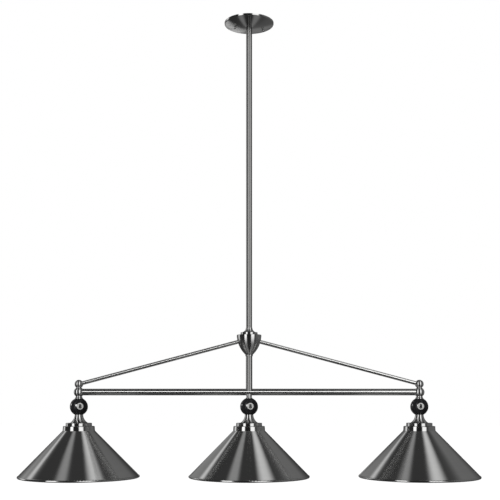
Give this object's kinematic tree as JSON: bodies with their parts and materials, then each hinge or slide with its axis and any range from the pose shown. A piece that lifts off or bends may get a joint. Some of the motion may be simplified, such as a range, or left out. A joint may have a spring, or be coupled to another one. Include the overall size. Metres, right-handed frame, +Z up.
{
  "type": "pool table lamp",
  "caption": "Ceiling-hung pool table lamp: long drop rod, turned hub, braced horizontal bar and a row of brushed cone shades, each under a black pool ball.",
  "frame": {"origin": "centre of the ceiling outlet box, on the ceiling plane", "axes": "+Z up, so the whole lamp is at or below z = 0; +X along the lamp's bar, from the left light to the right one; +Y away from the viewer who reads the pool balls"},
  "size_m": [1.3152, 0.3452, 1.2955],
  "materials": {
    "brushed_nickel": "satin brushed nickel plate, turned grain",
    "zinc_steel": "zinc plated pressed steel",
    "brass": "plain turned brass",
    "ball_resin": "polished phenolic resin",
    "socket_phenolic": "moulded phenolic",
    "ring_phenolic": "moulded phenolic, knurled rim",
    "bulb_cap": "rolled thread shell, bright",
    "bulb_glass": "inside-frosted glass",
    "cord_jacket": "round vinyl jacket",
    "black_insulation": "vinyl insulation",
    "white_insulation": "vinyl insulation",
    "copper": "bare copper wire",
    "orange_plastic": "moulded nylon",
    "green_steel": "green dyed earth screw"
  },
  "bodies": {
    "ceiling_mount": {"box_crossbar": "zinc_steel", "pivot_eyelet": "zinc_steel"},
    "lamp_frame": {"canopy_strap": "zinc_steel", "canopy_studs": "zinc_steel", "canopy_ball_nuts": "brushed_nickel", "canopy": "brushed_nickel", "canopy_locknut": "zinc_steel", "top_nipple": "brass", "ground_screw": "green_steel", "ground_lead": "copper", "black_lead": "black_insulation", "white_lead": "white_insulation", "wire_connectors": "orange_plastic", "upper_rod": "brushed_nickel", "middle_rod": "brushed_nickel", "lower_rod": "brushed_nickel", "rod_bushes": "zinc_steel", "rod_joint_nipples": "brass", "hub_cap": "brushed_nickel", "hub_body": "brushed_nickel", "hub_nipple": "brass", "hub_locknut": "zinc_steel", "lower_stem": "brushed_nickel", "stem_bush": "zinc_steel", "main_bar": "brushed_nickel", "left_brace": "brushed_nickel", "right_brace": "brushed_nickel", "left_finial": "brushed_nickel", "right_finial": "brushed_nickel", "center_neck": "brushed_nickel", "main_cord": "cord_jacket", "left_cord": "cord_jacket", "right_cord": "cord_jacket", "center_cord": "cord_jacket", "hanger_nipples": "brass", "hanger_locknuts": "zinc_steel", "screw_shells": "brass", "socket_contacts": "brass", "left_cup": "brushed_nickel", "center_cup": "brushed_nickel", "right_cup": "brushed_nickel", "left_socket": "socket_phenolic", "center_socket": "socket_phenolic", "right_socket": "socket_phenolic"},
    "left_pool_ball": {"left_ball": "ball_resin"},
    "left_shade_body": {"left_shade": "brushed_nickel"},
    "left_ring": {"left_shade_ring": "ring_phenolic"},
    "left_bulb": {"left_bulb_base": "bulb_cap", "left_bulb_glass": "bulb_glass"},
    "center_pool_ball": {"center_ball": "ball_resin"},
    "center_shade_body": {"center_shade": "brushed_nickel"},
    "center_ring": {"center_shade_ring": "ring_phenolic"},
    "center_bulb": {"center_bulb_base": "bulb_cap", "center_bulb_glass": "bulb_glass"},
    "right_pool_ball": {"right_ball": "ball_resin"},
    "right_shade_body": {"right_shade": "brushed_nickel"},
    "right_ring": {"right_shade_ring": "ring_phenolic"},
    "right_bulb": {"right_bulb_base": "bulb_cap", "right_bulb_glass": "bulb_glass"}
  },
  "joints": [
    {"name": "lamp_swivel", "type": "hinge", "parent": "ceiling_mount", "child": "lamp_frame", "pos_m": [0, 0, -0.005], "axis": [0, 0, 1], "range_deg": [-90, 90]},
    {"name": "left_ball_turn", "type": "hinge", "parent": "lamp_frame", "child": "left_pool_ball", "pos_m": [-0.485, 0, -1.0933], "axis": [0, 0, 1], "continuous": true},
    {"name": "left_shade_drop", "type": "slide", "parent": "lamp_frame", "child": "left_shade_body", "axis": [0, 0, -1], "range_m": [0, 0.008]},
    {"name": "left_ring_turn", "type": "hinge", "parent": "left_shade_body", "child": "left_ring", "pos_m": [-0.485, 0, -1.1535], "axis": [0, 0, 1], "range_deg": [-1152.1, 0]},
    {"name": "left_bulb_turn", "type": "hinge", "parent": "lamp_frame", "child": "left_bulb", "pos_m": [-0.485, 0, -1.175], "axis": [0, 0, 1], "range_deg": [-1080, 0]},
    {"name": "center_ball_turn", "type": "hinge", "parent": "lamp_frame", "child": "center_pool_ball", "pos_m": [0, 0, -1.0933], "axis": [0, 0, 1], "continuous": true},
    {"name": "center_shade_drop", "type": "slide", "parent": "lamp_frame", "child": "center_shade_body", "axis": [0, 0, -1], "range_m": [0, 0.008]},
    {"name": "center_ring_turn", "type": "hinge", "parent": "center_shade_body", "child": "center_ring", "pos_m": [0, 0, -1.1535], "axis": [0, 0, 1], "range_deg": [-1152.1, 0]},
    {"name": "center_bulb_turn", "type": "hinge", "parent": "lamp_frame", "child": "center_bulb", "pos_m": [0, 0, -1.175], "axis": [0, 0, 1], "range_deg": [-1080, 0]},
    {"name": "right_ball_turn", "type": "hinge", "parent": "lamp_frame", "child": "right_pool_ball", "pos_m": [0.485, 0, -1.0933], "axis": [0, 0, 1], "continuous": true},
    {"name": "right_shade_drop", "type": "slide", "parent": "lamp_frame", "child": "right_shade_body", "axis": [0, 0, -1], "range_m": [0, 0.008]},
    {"name": "right_ring_turn", "type": "hinge", "parent": "right_shade_body", "child": "right_ring", "pos_m": [0.485, 0, -1.1535], "axis": [0, 0, 1], "range_deg": [-1152.1, 0]},
    {"name": "right_bulb_turn", "type": "hinge", "parent": "lamp_frame", "child": "right_bulb", "pos_m": [0.485, 0, -1.175], "axis": [0, 0, 1], "range_deg": [-1080, 0]}
  ],
  "couplings": [
    {"joint": "left_ring_turn", "follows": "left_shade_drop", "rad_per_m": -2513.3},
    {"joint": "center_ring_turn", "follows": "center_shade_drop", "rad_per_m": -2513.3},
    {"joint": "right_ring_turn", "follows": "right_shade_drop", "rad_per_m": -2513.3}
  ]
}
